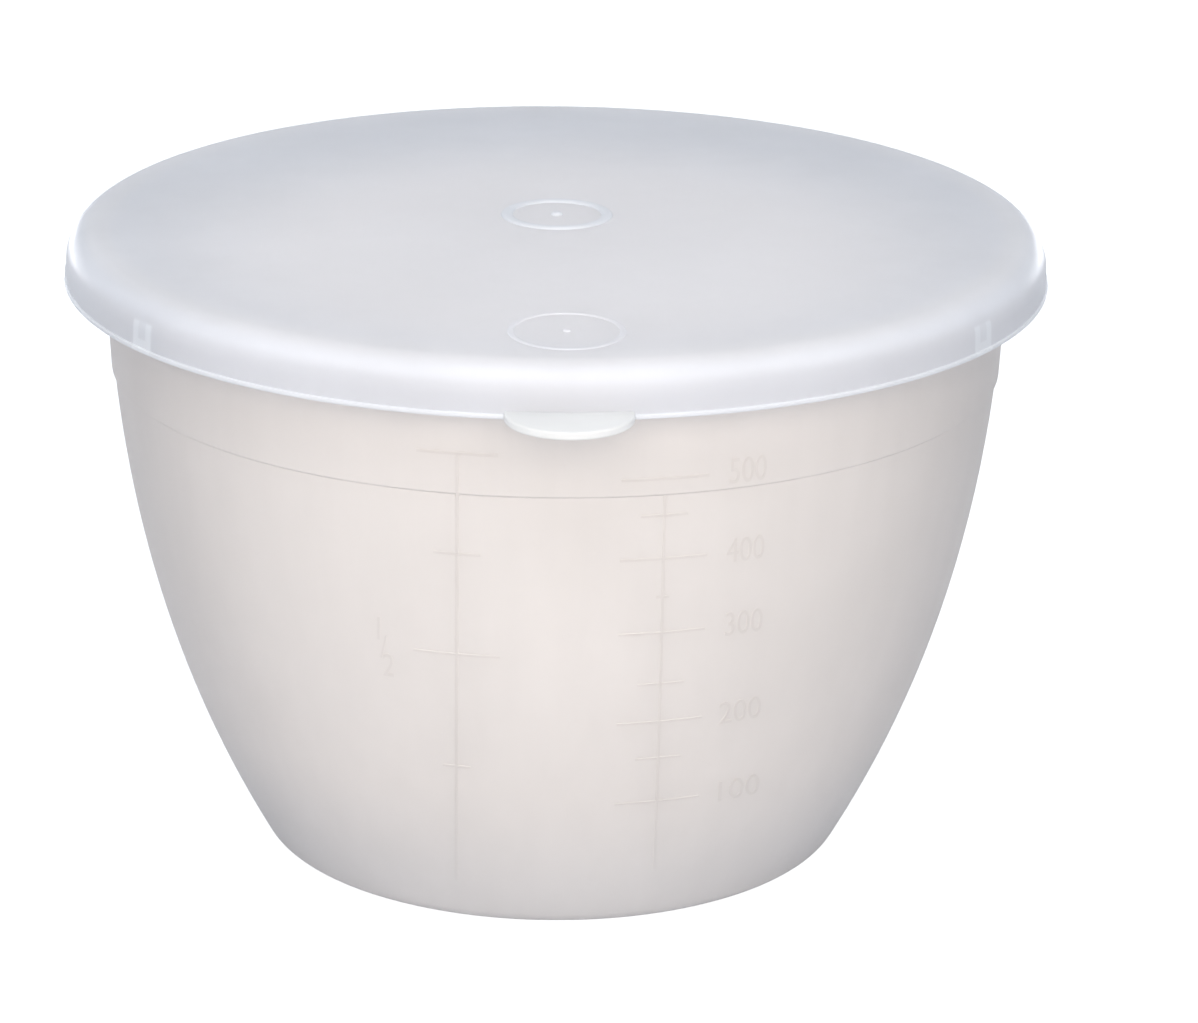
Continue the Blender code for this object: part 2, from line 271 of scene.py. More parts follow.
class StageLook(bpy.types.PropertyGroup):
    """Light and floor of the stage."""

    key_power: lamp_power("Key Light", 6.6, "Power of the front light")
    low_power: lamp_power("Low Light", 2.45, "Power of the low light in front")
    key_tint: colour("Key Tint", (1.0, 0.91, 0.825), "Colour of both lights in front")
    back_power: lamp_power("Back Lights", 2.9, "Power of each back light")
    top_power: lamp_power("Top Light", 2.75, "Power of the light above")
    top_tint: colour("Top Tint", (0.97, 0.98, 1.0), "Colour of the back lights and the light above")
    room: share("Room Light", 0.38, "Strength of the soft light from all round, in front and behind")
    room_sides: share("Room Light At Sides", 0.14, "Strength of the soft light from the left and right")
    room_tint: colour("Room Tint", (0.80, 0.90, 1.0), "Colour of the soft light in front and behind")
    sides_tint: colour("Sides Tint", (0.30, 0.60, 1.0), "Colour of the soft light from the left and right")
    floor: colour("Floor", (0.54, 0.565, 0.61), "Colour of the floor's paint")


class PuddingBasin(bpy.types.PropertyGroup):
    """Everything that the user can change."""

    basin: PointerProperty(type=BasinSizes)
    lid: PointerProperty(type=LidSizes)
    rings: PointerProperty(type=RingSizes)
    scale: PointerProperty(type=ScaleSizes)
    basin_plastic: PointerProperty(type=BasinPlastic)
    lid_plastic: PointerProperty(type=LidPlastic)
    stage: PointerProperty(type=StageLook)


# Sections

def point(radius, height):
    """A point of a turned section."""
    return Vector((radius, height))


def leaning(lean):
    """The direction that rises along a line leaning outwards by this angle."""
    return Vector((math.sin(lean), math.cos(lean)))


def cross(a, b):
    """The signed area spanned by two directions of a section."""
    return a.x * b.y - a.y * b.x


def rounded(before, corner, after, radius, steps=6):
    """Points of the arc that rounds a corner of a section."""
    arriving = (before - corner).normalized()
    leaving = (after - corner).normalized()
    half = math.acos(arriving.dot(leaving)) / 2
    centre = corner + (arriving + leaving).normalized() * (radius / math.sin(half))
    reach = radius / math.tan(half)
    first = corner + arriving * reach - centre
    last = corner + leaving * reach - centre
    sweep = math.atan2(cross(first, last), first.dot(last))
    return [centre + Matrix.Rotation(sweep * i / steps, 2) @ first for i in range(steps + 1)]


def wall_line(flat_height, foot_radius, fillet, foot_lean, step_lean, top):
    """A wall's line from its flat, round the fillet and up one quadratic curve to top."""
    corner = point(foot_radius, flat_height)
    rise = leaning(foot_lean)
    arc = rounded(point(0, flat_height), corner, corner + rise, fillet, FILLET_STEPS)
    start = arc[-1]
    finish = leaning(step_lean)
    control = start + rise * (cross(top - start, finish) / cross(rise, finish))
    shares = [i / WALL_STEPS for i in range(1, WALL_STEPS + 1)]
    curve = [start * (1 - t) ** 2 + control * (2 * t * (1 - t)) + top * t ** 2 for t in shares]
    return arc + curve


def flat_points(outer, height):
    """Points along a level flat from the axis outwards, without its two ends."""
    return [point(outer * i / FLAT_STEPS, height) for i in range(1, FLAT_STEPS)]


def basin_section(size):
    """The basin's section, from the middle of its underside round to the middle of its floor."""
    step_height = size.height - size.collar_height
    rim_underside = size.height - size.rim_thickness
    step = point(size.step_radius, step_height)
    outside = wall_line(0, size.foot_radius, size.foot_fillet, size.foot_lean, size.step_lean, step)
    collar_foot = point(size.step_radius + size.collar_step, step_height + size.collar_taper)
    collar_rise = rim_underside - collar_foot.y
    collar_top = point(collar_foot.x + collar_rise * math.tan(size.collar_lean), rim_underside)
    rim_low = point(size.rim_radius, rim_underside)
    rim_high = point(size.rim_radius, size.height)

    # The inside of the wall lies one thickness in from its outside
    inner_step = step + size.wall * Vector((-math.cos(size.step_lean), math.sin(size.step_lean)))
    mouth_height = size.height - inner_step.y
    mouth = point(inner_step.x + mouth_height * math.tan(size.collar_lean), size.height)
    floor, across = size.floor_thickness, size.wall / math.cos(size.foot_lean)
    inner_foot = size.foot_radius + floor * math.tan(size.foot_lean) - across
    inside = wall_line(floor, inner_foot, size.floor_fillet, size.foot_lean, size.step_lean, inner_step)
    low_rounding, high_rounding = 0.2 * size.rim_thickness, 0.7 * size.rim_thickness
    return [
        point(0, 0),
        *flat_points(outside[0].x, 0),
        *outside,
        *rounded(step, collar_foot, collar_top, size.collar_rounding, steps=4),
        *rounded(collar_foot, collar_top, rim_low, size.wall),
        *rounded(collar_top, rim_low, rim_high, low_rounding),
        *rounded(rim_low, rim_high, mouth, high_rounding),
        *rounded(rim_high, mouth, inner_step, size.mouth_rounding),
        *reversed(inside),
        *reversed(flat_points(inside[0].x, floor)),
        point(0, floor),
    ]


def crown_line(size, edge_height, crown_radius):
    """The crown's line from the axis to just short of the shoulder."""
    radii = [crown_radius * i / CROWN_STEPS for i in range(CROWN_STEPS)]
    rises = [size.crown * (1 - (radius / crown_radius) ** 2) for radius in radii]
    return [point(radius, edge_height + rise) for radius, rise in zip(radii, rises)]


def lid_section(size):
    """The lid's section, from the middle of its underside round to the middle of its top."""
    skirt_radius = size.lip_radius - size.lip_standout
    edge_top = size.skirt_bottom + size.skirt_height
    underside = edge_top - size.top_thickness
    inner_radius = skirt_radius - size.wall
    shoulder_corner = point(skirt_radius - size.skirt_height * math.tan(size.draft), edge_top)
    crown_radius = shoulder_corner.x - size.shoulder
    crown_edge = point(crown_radius, underside)
    inner_corner = point(inner_radius, underside)
    inner_edge = point(inner_radius, size.skirt_bottom)
    lip_low = point(size.lip_radius, size.skirt_bottom)
    lip_high = point(size.lip_radius, size.skirt_bottom + size.lip_height)
    skirt_foot = point(skirt_radius, size.skirt_bottom + size.lip_height)
    lip_rounding = 0.8 * size.lip_standout
    return [
        *crown_line(size, underside, crown_radius),
        crown_edge,
        *rounded(crown_edge, inner_corner, inner_edge, size.inner_shoulder),
        inner_edge,
        *rounded(inner_edge, lip_low, lip_high, lip_rounding, steps=4),
        *rounded(lip_low, lip_high, skirt_foot, lip_rounding, steps=4),
        skirt_foot,
        *rounded(skirt_foot, shoulder_corner, point(0, edge_top), size.shoulder, steps=14),
        *reversed(crown_line(size, edge_top, crown_radius)),
    ]


# Meshes and objects

def mesh_of(name, verts, edges=(), faces=()):
    """A mesh from plain lists."""
    mesh = bpy.data.meshes.new(name)
    mesh.from_pydata([tuple(vert) for vert in verts], list(edges), list(faces))
    return mesh


def chain(name, section):
    """A section as a chain of points in the XZ plane."""
    links = [(i, i + 1) for i in range(len(section) - 1)]
    return mesh_of(name, [(p.x, 0, p.y) for p in section], links)


def points_with(name, places, **values):
    """Loose points that carry numbers of their own."""
    mesh = mesh_of(name, places)
    for key, numbers in values.items():
        mesh.attributes.new(key, "FLOAT", "POINT").data.foreach_set("value", numbers)
    return mesh


@contextmanager
def edited(mesh):
    """A mesh opened for editing, and written back afterwards."""
    bm = bmesh.new()
    bm.from_mesh(mesh)
    yield bm
    bm.to_mesh(mesh)
    bm.free()


def turn_outwards(bm):
    """Make every closed shell of an opened mesh face outwards."""
    bmesh.ops.recalc_face_normals(bm, faces=bm.faces)


def extruded(name, outline, low, high):
    """A solid that runs from low to high along Z over an outline in the XY plane."""
    mesh = bpy.data.meshes.new(name)
    with edited(mesh) as bm:
        bottom = bm.faces.new([bm.verts.new((p.x, p.y, low)) for p in outline])
        swept = bmesh.ops.extrude_face_region(bm, geom=[bottom], use_keep_orig=True)
        risen = [part for part in swept["geom"] if isinstance(part, bmesh.types.BMVert)]
        bmesh.ops.translate(bm, verts=risen, vec=(0, 0, high - low))
        turn_outwards(bm)
    return mesh


def new_object(name, data):
    """A new object in the scene."""
    thing = bpy.data.objects.new(name, data)
    bpy.context.scene.collection.objects.link(thing)
    return thing


def grown(name, start, tree, values):
    """Run a tree on a mesh and keep the result as a plain object."""
    thing = new_object(name, start)
    modifier = thing.modifiers.new(tree.name, "NODES")
    modifier.node_group = tree
    for socket in tree.interface.items_tree:
        if socket.in_out == "INPUT" and socket.name in values:
            modifier[socket.identifier] = values[socket.name]
    depsgraph = bpy.context.evaluated_depsgraph_get()
    mesh = bpy.data.meshes.new_from_object(thing.evaluated_get(depsgraph), depsgraph=depsgraph)
    thing.modifiers.remove(modifier)
    thing.data = mesh
    mesh.name = name
    if not mesh.polygons:
        raise RuntimeError(f"{tree.name} made no faces for {name}")
    with edited(mesh) as bm:
        turn_outwards(bm)
    return thing


def joined(name, things):
    """Join several plain objects into one, and remove them."""
    mesh = bpy.data.meshes.new(name)
    with edited(mesh) as bm:
        for thing in things:
            bm.from_mesh(thing.data)
    for material in things[0].data.materials:
        mesh.materials.append(material)
    for thing in things:
        bpy.data.objects.remove(thing)
    return new_object(name, mesh)


def hand_over(thing, body, node=None):
    """Tie a finished piece to its body, and hide the CAD node that it stands for."""
    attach(thing, body)
    if node:
        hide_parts(node)


# Nodes of every kind of tree

def feed(tree, socket, value):
    """Link a socket to another, or give it a plain value. A plain colour is given without its alpha."""
    if isinstance(value, bpy.types.NodeSocket):
        tree.links.new(value, socket)
    elif socket.type == "RGBA":
        socket.default_value = (*value, 1.0)
    else:
        socket.default_value = value


def add_node(tree, kind, inputs=None, **settings):
    """Add a node with its settings, and feed its inputs by name or position."""
    node = tree.nodes.new(kind)
    node.location.x = NODE_SPACING * len(tree.nodes)
    for name, value in settings.items():
        setattr(node, name, value)
    for key, value in (inputs or {}).items():
        feed(tree, node.inputs[key], value)
    return node


def result(tree, kind, inputs=None, output=0, **settings):
    """Add a node, and give its first output or the one that is named."""
    return add_node(tree, kind, inputs, **settings).outputs[output]


def sums(tree, operation, *values):
    """The result of a sum on plain numbers."""
    return result(tree, "ShaderNodeMath", dict(enumerate(values)), operation=operation)


def whole_sums(tree, operation, *values):
    """The result of a sum on whole numbers."""
    return result(tree, "FunctionNodeIntegerMath", dict(enumerate(values)), operation=operation)


def scaled(tree, vector, factor):
    """A vector made longer or a colour made brighter by a factor."""
    return result(tree, "ShaderNodeVectorMath", {0: vector, "Scale": factor}, operation="SCALE")


def triple(tree, x, y, z):
    """Three numbers as one vector."""
    return result(tree, "ShaderNodeCombineXYZ", {"X": x, "Y": y, "Z": z})


def axes_of(tree, vector):
    """The three numbers of a vector by their letters."""
    return add_node(tree, "ShaderNodeSeparateXYZ", {"Vector": vector}).outputs


# Geometry trees

def own_place(tree):
    """The place of each point."""
    return result(tree, "GeometryNodeInputPosition")


def own_number(tree, name):
    """The number that each point carries under a name."""
    return result(tree, "GeometryNodeInputNamedAttribute", {"Name": name}, "Attribute", data_type="FLOAT")


def facing(tree, vector, turns):
    """A vector turned about the three axes."""
    inputs = {"Vector": vector, "Rotation": turns}
    return result(tree, "ShaderNodeVectorRotate", inputs, rotation_type="EULER_XYZ")


def object_mesh(tree, thing):
    """The mesh of another object."""
    return result(tree, "GeometryNodeObjectInfo", {"Object": thing}, "Geometry")


def realised(tree, geometry):
    """Instances as plain geometry."""
    return result(tree, "GeometryNodeRealizeInstances", {"Geometry": geometry})


def welded(tree, geometry, distance):
    """Geometry with the points merged that lie together."""
    return result(tree, "GeometryNodeMergeByDistance", {"Geometry": geometry, "Distance": distance})


def together(tree, *geometries):
    """Several pieces of geometry as one."""
    both = add_node(tree, "GeometryNodeJoinGeometry")
    for geometry in geometries:
        tree.links.new(geometry, both.inputs["Geometry"])
    return both.outputs["Geometry"]


def repeated(tree, points, piece, **inputs):
    """A piece on each point, turned about the Z axis by the point's own turn."""
    inputs["Points"] = points
    inputs["Instance"] = piece
    inputs["Rotation"] = triple(tree, 0, 0, own_number(tree, "turn"))
    return realised(tree, result(tree, "GeometryNodeInstanceOnPoints", inputs))


def new_tree(name, inputs):
    """A Geometry Nodes tree with named inputs, and its input sockets."""
    tree = bpy.data.node_groups.new(name, "GeometryNodeTree")
    face = tree.interface
    face.new_socket("Geometry", in_out="INPUT", socket_type="NodeSocketGeometry")
    for label, kind in inputs.items():
        face.new_socket(label, in_out="INPUT", socket_type=f"NodeSocket{kind}")
    face.new_socket("Geometry", in_out="OUTPUT", socket_type="NodeSocketGeometry")
    return tree, tree.nodes.new("NodeGroupInput").outputs


def close_tree(tree, given, skin):
    """Shade a skin smooth with its real edges sharp, realise it, give it its material and send it out."""
    smooth = {"Geometry": skin, "Shade Smooth": True}
    skin = result(tree, "GeometryNodeSetShadeSmooth", smooth, domain="FACE")
    fold = result(tree, "GeometryNodeInputMeshEdgeAngle", output="Unsigned Angle")
    sharp = sums(tree, "GREATER_THAN", fold, given["Sharp Angle"])
    edges = {"Geometry": skin, "Selection": sharp, "Shade Smooth": False}
    skin = result(tree, "GeometryNodeSetShadeSmooth", edges, domain="EDGE")
    dressed = {"Geometry": realised(tree, skin), "Material": given["Material"]}
    dressed = result(tree, "GeometryNodeSetMaterial", dressed)
    add_node(tree, "NodeGroupOutput", {"Geometry": dressed})
    return tree


def turned_tree():
    """Turn a section, given as a chain of points in the XZ plane, once about the Z axis."""
    inputs = {"Segments": "Int", "Merge Distance": "Float", "Sharp Angle": "Float", "Material": "Material"}
    tree, given = new_tree("Turned Section", inputs)
    section = given["Geometry"]
    count = result(tree, "GeometryNodeAttributeDomainSize", {"Geometry": section}, "Point Count")
    columns = whole_sums(tree, "ADD", given["Segments"], 1)
    grid = result(tree, "GeometryNodeMeshGrid", {"Vertices X": columns, "Vertices Y": count})
    index = result(tree, "GeometryNodeInputIndex")
    row = whole_sums(tree, "MODULO", index, count)
    reading = {"Geometry": section, "Value": own_place(tree), "Index": row}
    reading = result(tree, "GeometryNodeSampleIndex", reading, data_type="FLOAT_VECTOR")
    column = whole_sums(tree, "DIVIDE", index, count)
    turn = sums(tree, "MULTIPLY", sums(tree, "DIVIDE", column, given["Segments"]), math.tau)
    swung = {"Vector": reading, "Angle": turn}
    swung = result(tree, "ShaderNodeVectorRotate", swung, rotation_type="Z_AXIS")
    skin = result(tree, "GeometryNodeSetPosition", {"Geometry": grid, "Position": swung})
    return close_tree(tree, given, welded(tree, skin, given["Merge Distance"]))


LAYING = {
    "Surface": "Object",
    "Facing": "Vector",
    "Relief": "Float",
    "Sink": "Float",
    "Sharp Angle": "Float",
    "Material": "Material",
}


def laid(tree, given, drawing):
    """Lay a flat drawing on a surface: X and Y place it, and Z from 0 to 1 runs from sunk to raised."""
    flat = axes_of(tree, own_place(tree))
    hit = {
        "Target Geometry": object_mesh(tree, given["Surface"]),
        "Source Position": facing(tree, triple(tree, flat["X"], flat["Y"], RAY_REACH), given["Facing"]),
        "Ray Direction": facing(tree, (0, 0, -1), given["Facing"]),
        "Ray Length": 2 * RAY_REACH,
    }
    hit = add_node(tree, "GeometryNodeRaycast", hit).outputs
    travel = sums(tree, "ADD", given["Relief"], given["Sink"])
    lift = sums(tree, "SUBTRACT", sums(tree, "MULTIPLY", flat["Z"], travel), given["Sink"])
    moved = {
        "Geometry": drawing,
        "Selection": hit["Is Hit"],
        "Position": hit["Hit Position"],
        "Offset": scaled(tree, hit["Hit Normal"], lift),
    }
    return close_tree(tree, given, result(tree, "GeometryNodeSetPosition", moved))


def lines_tree():
    """Raised lines of a scale, one for each point, along or up the wall."""
    inputs = {"Line Width": "Float", "Top Share": "Float", "Steps": "Int", **LAYING}
    tree, given = new_tree("Scale Lines", inputs)
    # A bar from -1 to 1 along X, stretched to each line's own reach
    bar = {"Size": triple(tree, 2, given["Line Width"], 1), "Vertices X": given["Steps"]}
    bar = result(tree, "GeometryNodeMeshCube", bar)
    flat = axes_of(tree, own_place(tree))
    level = sums(tree, "ADD", flat["Z"], 0.5)
    narrowing = sums(tree, "MULTIPLY", level, sums(tree, "SUBTRACT", 1, given["Top Share"]))
    across = sums(tree, "MULTIPLY", flat["Y"], sums(tree, "SUBTRACT", 1, narrowing))
    ridge = {"Geometry": bar, "Position": triple(tree, flat["X"], across, level)}
    ridge = result(tree, "GeometryNodeSetPosition", ridge)
    stretch = triple(tree, own_number(tree, "reach"), 1, 1)
    return laid(tree, given, repeated(tree, given["Geometry"], ridge, Scale=stretch))


def figures_tree():
    """Raised figures of a scale, centred on one place."""
    inputs = {"Figures": "String", "Figure Size": "Float", "Figure Width": "Float", "Place": "Vector"}
    tree, given = new_tree("Scale Figures", {**inputs, **LAYING})
    text = {"String": given["Figures"], "Size": given["Figure Size"]}
    text = add_node(tree, "GeometryNodeStringToCurves", text, align_x="CENTER", align_y="MIDDLE")
    outline = realised(tree, text.outputs["Curve Instances"])
    face = result(tree, "GeometryNodeFillCurve", {"Curve": outline}, mode="TRIANGLES")
    upper = {"Mesh": face, "Offset": triple(tree, 0, 0, 1), "Individual": False}
    upper = result(tree, "GeometryNodeExtrudeMesh", upper, mode="FACES")
    lower = result(tree, "GeometryNodeFlipFaces", {"Mesh": face})
    placed = {
        "Geometry": welded(tree, together(tree, upper, lower), FIGURE_WELD),
        "Translation": given["Place"],
        "Scale": triple(tree, given["Figure Width"], 1, 1),
    }
    return laid(tree, given, result(tree, "GeometryNodeTransform", placed))


def ring_tree():
    """A raised bead round a small raised boss."""
    inputs = {"Centre": "Vector", "Ring Radius": "Float", "Ring Width": "Float"}
    inputs.update({"Boss Radius": "Float", "Boss Rise": "Float"})
    tree, given = new_tree("Raised Ring", {**inputs, **LAYING})
    half = sums(tree, "DIVIDE", given["Ring Width"], 2)
    path = {"Resolution": RING_STEPS, "Radius": sums(tree, "SUBTRACT", given["Ring Radius"], half)}
    path = result(tree, "GeometryNodeCurvePrimitiveCircle", path)
    bead = result(tree, "GeometryNodeCurvePrimitiveCircle", {"Resolution": BEAD_STEPS, "Radius": 1})
    bead = {"Geometry": bead, "Scale": triple(tree, half, 0.5, 1)}
    bead = result(tree, "GeometryNodeTransform", bead)
    ring = result(tree, "GeometryNodeCurveToMesh", {"Curve": path, "Profile Curve": bead})

    # A boss stands higher than its ring, in parts of the ring's own travel
    travel = sums(tree, "ADD", given["Relief"], given["Sink"])
    extra = sums(tree, "DIVIDE", given["Boss Rise"], travel)
    dome_half = sums(tree, "DIVIDE", sums(tree, "ADD", 1, extra), 2)
    dome = {"Segments": BOSS_SEGMENTS, "Rings": BOSS_SEGMENTS // 2, "Radius": 1}
    dome = {
        "Geometry": result(tree, "GeometryNodeMeshUVSphere", dome),
        "Translation": triple(tree, 0, 0, sums(tree, "DIVIDE", extra, 2)),
        "Scale": triple(tree, given["Boss Radius"], given["Boss Radius"], dome_half),
    }
    dome = result(tree, "GeometryNodeTransform", dome)
    half_up = {0: given["Centre"], 1: (0, 0, 0.5)}
    placed = {
        "Geometry": together(tree, ring, dome),
        "Translation": result(tree, "ShaderNodeVectorMath", half_up, operation="ADD"),
    }
    return laid(tree, given, result(tree, "GeometryNodeTransform", placed))


def repeat_tree():
    """Repeat a piece round the Z axis, once for each point's turn."""
    inputs = {"Piece": "Object", "Sharp Angle": "Float", "Material": "Material"}
    tree, given = new_tree("Round The Skirt", inputs)
    piece = object_mesh(tree, given["Piece"])
    return close_tree(tree, given, repeated(tree, given["Geometry"], piece))


# Materials

def emptied(owner):
    """The node tree of a material or world, without the nodes that it starts with."""
    owner.use_nodes = True
    owner.node_tree.nodes.clear()
    return owner.node_tree


def blended(tree, factor, first, second):
    """One colour or another by a factor."""
    return result(tree, "ShaderNodeMix", {0: factor, 6: first, 7: second}, 2, data_type="RGBA")


def remapped(tree, value, low, high, to_low, to_high, path="LINEAR"):
    """A number moved from one range to another, and held inside it."""
    inputs = dict(enumerate((value, low, high, to_low, to_high)))
    return result(tree, "ShaderNodeMapRange", inputs, interpolation_type=path, clamp=True)


def ramp(tree, value, start, end):
    """A smooth step that is 0 at start and 1 at end."""
    return remapped(tree, value, start, end, 0.0, 1.0, "SMOOTHSTEP")


def noise(tree, where, scale, detail):
    """Smooth noise from 0 to 1."""
    return result(tree, "ShaderNodeTexNoise", {"Vector": where, "Scale": scale, "Detail": detail})


def frosted_plastic(tree, place, plastic, surface, dense):
    """Milky moulded plastic: a satin surface over a body that glows with the light passing through it."""
    # Cloudy mottling and the long flow marks of a moulding
    stretched = result(tree, "ShaderNodeMapping", {"Vector": place, "Scale": FLOW_SCALE})
    clouds = sums(tree, "MULTIPLY", noise(tree, place, CLOUD_SCALE, 3.0), CLOUD_SHARE)
    flow = sums(tree, "MULTIPLY", noise(tree, stretched, 1.0, 2.0), 1.0 - CLOUD_SHARE)
    shade = remapped(tree, sums(tree, "ADD", clouds, flow), *NOISE_RANGE, 1.0 - plastic.mottle, 1.0)

    # Satin surface: fine moulded grain, and roughness that varies a little from place to place
    grain = noise(tree, place, GRAIN_SCALE, 2.0)
    bump = {"Height": grain, "Strength": GRAIN_STRENGTH, "Distance": plastic.grain}
    bump = result(tree, "ShaderNodeBump", bump)
    patches = noise(tree, place, PATCH_SCALE, 4.0)
    smoothest, roughest = (plastic.roughness + change for change in ROUGHNESS_CHANGE)
    body = {
        "Base Color": scaled(tree, surface, shade),
        "Roughness": remapped(tree, patches, *NOISE_RANGE, smoothest, roughest),
        "IOR": PLASTIC_IOR,
        "Specular IOR Level": plastic.gloss,
        "Transmission Weight": plastic.clearness,
        "Normal": bump,
    }
    body = result(tree, "ShaderNodeBsdfPrincipled", body)
    glowing = {"Color": scaled(tree, tuple(plastic.glow), shade), "Normal": bump}
    glowing = result(tree, "ShaderNodeBsdfTranslucent", glowing)
    # Denser plastic passes less of the light and sends more of it back. Where it is the same all over,
    # the shader gets the share that passes as a plain number
    if isinstance(dense, bpy.types.NodeSocket):
        passed = sums(tree, "MULTIPLY", sums(tree, "SUBTRACT", 1.0, dense), plastic.glow_share)
    else:
        passed = (1.0 - dense) * plastic.glow_share
    both = result(tree, "ShaderNodeMixShader", {0: passed, 1: body, 2: glowing})
    add_node(tree, "ShaderNodeOutputMaterial", {"Surface": both})


def plastic_material(name, plastic, paint):
    """The plastic of a name, made at its first use; paint gives its surface colour and its density."""
    if name in bpy.data.materials:
        return bpy.data.materials[name]
    material = bpy.data.materials.new(name)
    material.diffuse_color = (*plastic.face, 1.0)
    tree = emptied(material)
    place = result(tree, "ShaderNodeTexCoord", output="Object")
    surface, dense = paint(tree, axes_of(tree, place))
    frosted_plastic(tree, place, plastic, surface, dense)
    return material


def basin_plastic(settings, marks=False):
    """The basin's plastic, with painted shade: darker and cooler near its foot, and a little darker on the
    scale.
    """
    plastic = settings.basin_plastic
    # The scale's lines get the darker colour as painted shade
    name = "basin_scale_shaded_plastic" if marks else "basin_frosted_plastic"
    face = plastic.marks if marks else plastic.face
    foot_shade_top = FOOT_SHADE_SHARE * settings.basin.height

    def paint(tree, axes):
        # Painted shade that darkens and cools the wall towards its foot
        foot = ramp(tree, axes["Z"], foot_shade_top, 0.0)
        return blended(tree, foot, face, plastic.foot), 0.0

    return plastic_material(name, plastic, paint)


def thick_plastic(settings, name, tint):
    """The plastic of the lid's small thick pieces, which pass less light, in a tint of its own: paler as a
    painted highlight on the rings and lugs, and greyer as painted shade on the tab.
    """
    plastic = settings.lid_plastic

    def paint(tree, axes):
        return tuple(tint), THICK_SHARE * plastic.density

    return plastic_material(name, plastic, paint)


def lid_plastic(settings):
    """The lid's plastic, with painted shade that makes it darker and bluer towards its edge and on its skirt,
    and a painted highlight that makes it whiter where it is thicker, at its lip and over its lugs.
    """
    plastic, size = settings.lid_plastic, settings.lid
    skirt_shade_top = size.skirt_bottom + size.skirt_height - SKIRT_SHADE_FADE
    lip_low, lip_high = (size.skirt_bottom + rise for rise in LIP_HIGHLIGHT_FADE)

    def paint(tree, axes):
        # Painted shade on the crowned top, lightest towards its lit front and darker and bluer towards its
        # edge
        onward = sums(tree, "ADD", axes["Y"], plastic.painted_light_offset)
        across = {0: triple(tree, axes["X"], onward, 0.0)}
        across = result(tree, "ShaderNodeVectorMath", across, "Value", operation="LENGTH")
        outer = ramp(tree, across, EDGE_SHADE_START * size.lip_radius, size.lip_radius)
        outer = sums(tree, "MULTIPLY", outer, EDGE_SHADE_SHARE)
        surface = blended(tree, outer, plastic.face, plastic.edge)
        # Painted shade on the skirt
        skirt = ramp(tree, axes["Z"], skirt_shade_top, size.lug_top)
        surface = blended(tree, skirt, surface, plastic.skirt)
        # Painted highlight along the lip and over the lugs, where the plastic also passes less light
        lip = sums(tree, "MULTIPLY", ramp(tree, axes["Z"], lip_high, lip_low), LIP_HIGHLIGHT_SHARE)
        thick = sums(tree, "MAXIMUM", lip, lug_highlight(tree, size, axes))
        dense = sums(tree, "MULTIPLY", thick, plastic.density)
        return blended(tree, thick, surface, plastic.thick), dense

    return plastic_material("lid_frosted_plastic", plastic, paint)


def lug_highlight(tree, size, axes):
    """Painted highlight on the skirt: one where a rib of a lug backs it, half over the lug's pocket, and none
    elsewhere.
    """
    soft, over_pocket = 0.5 * MM, 0.5
    turn = sums(tree, "ARCTAN2", axes["X"], sums(tree, "MULTIPLY", axes["Y"], -1.0))
    turn = sums(tree, "ABSOLUTE", turn)
    sideways = sums(tree, "ABSOLUTE", sums(tree, "SUBTRACT", turn, size.lug_spread))
    behind = sums(tree, "SUBTRACT", math.pi, turn)
    sideways = sums(tree, "MULTIPLY", sums(tree, "MINIMUM", sideways, behind), size.lip_radius)
    half = size.lug_width / 2
    inside = ramp(tree, sideways, half + soft, half)
    upright = ramp(tree, sideways, half - size.lug_rib - soft, half - size.lug_rib)
    foot = size.lug_foot + size.lug_rib
    level = ramp(tree, axes["Z"], foot + soft, foot)
    below_top = ramp(tree, axes["Z"], size.lug_top + soft, size.lug_top)
    rib = sums(tree, "MAXIMUM", sums(tree, "MAXIMUM", upright, level), over_pocket)
    return sums(tree, "MULTIPLY", sums(tree, "MULTIPLY", inside, below_top), rib)


# Pieces

def turned_piece(name, section, segments, material):
    """A piece turned from its section."""
    tree = bpy.data.node_groups.get("Turned Section") or turned_tree()
    values = {
        "Segments": segments,
        "Merge Distance": SECTION_WELD,
        "Sharp Angle": math.radians(35),
        "Material": material,
    }
    return grown(name, chain(name, section), tree, values)


def laying(surface, turns, relief, sink, material):
    """The values that every raised mark needs."""
    return {
        "Surface": surface,
        "Facing": turns,
        "Relief": relief,
        "Sink": sink,
        "Sharp Angle": math.radians(50),
        "Material": material,
    }


def scale_marks(size):
    """Places of the scale's lines in its flat drawing, with half their length and their turn."""
    # Half lengths of the level lines, then each line's height above the foot, all in millimetres
    long, medium, short, slight, upper = 5.3, 2.85, 0.8, 1.7, 4.9
    right = {20.2: long, 27.0: medium, 32.5: long, 38.1: medium, 45.4: long}
    right.update({50.4: short, 55.6: long, 61.4: medium, 66.3: long})
    left = {25.6: slight, 42.2: long, 56.1: medium, 69.4: upper}
    # Each side's place, level lines, and the foot and top of its upright line
    sides = ((size.half_gap, right, 8.6, 64.0), (-size.half_gap, left, 6.8, 69.4))
    marks = [(side, height, reach, 0.0) for side, levels, _, _ in sides for height, reach in levels.items()]
    marks += [(side, (low + high) / 2, (high - low) / 2, UPRIGHT) for side, _, low, high in sides]
    return points_with(
        "scale_points",
        [(side, height * MM, 0) for side, height, _, _ in marks],
        reach=[reach * MM for _, _, reach, _ in marks],
        turn=[turn for _, _, _, turn in marks],
    )


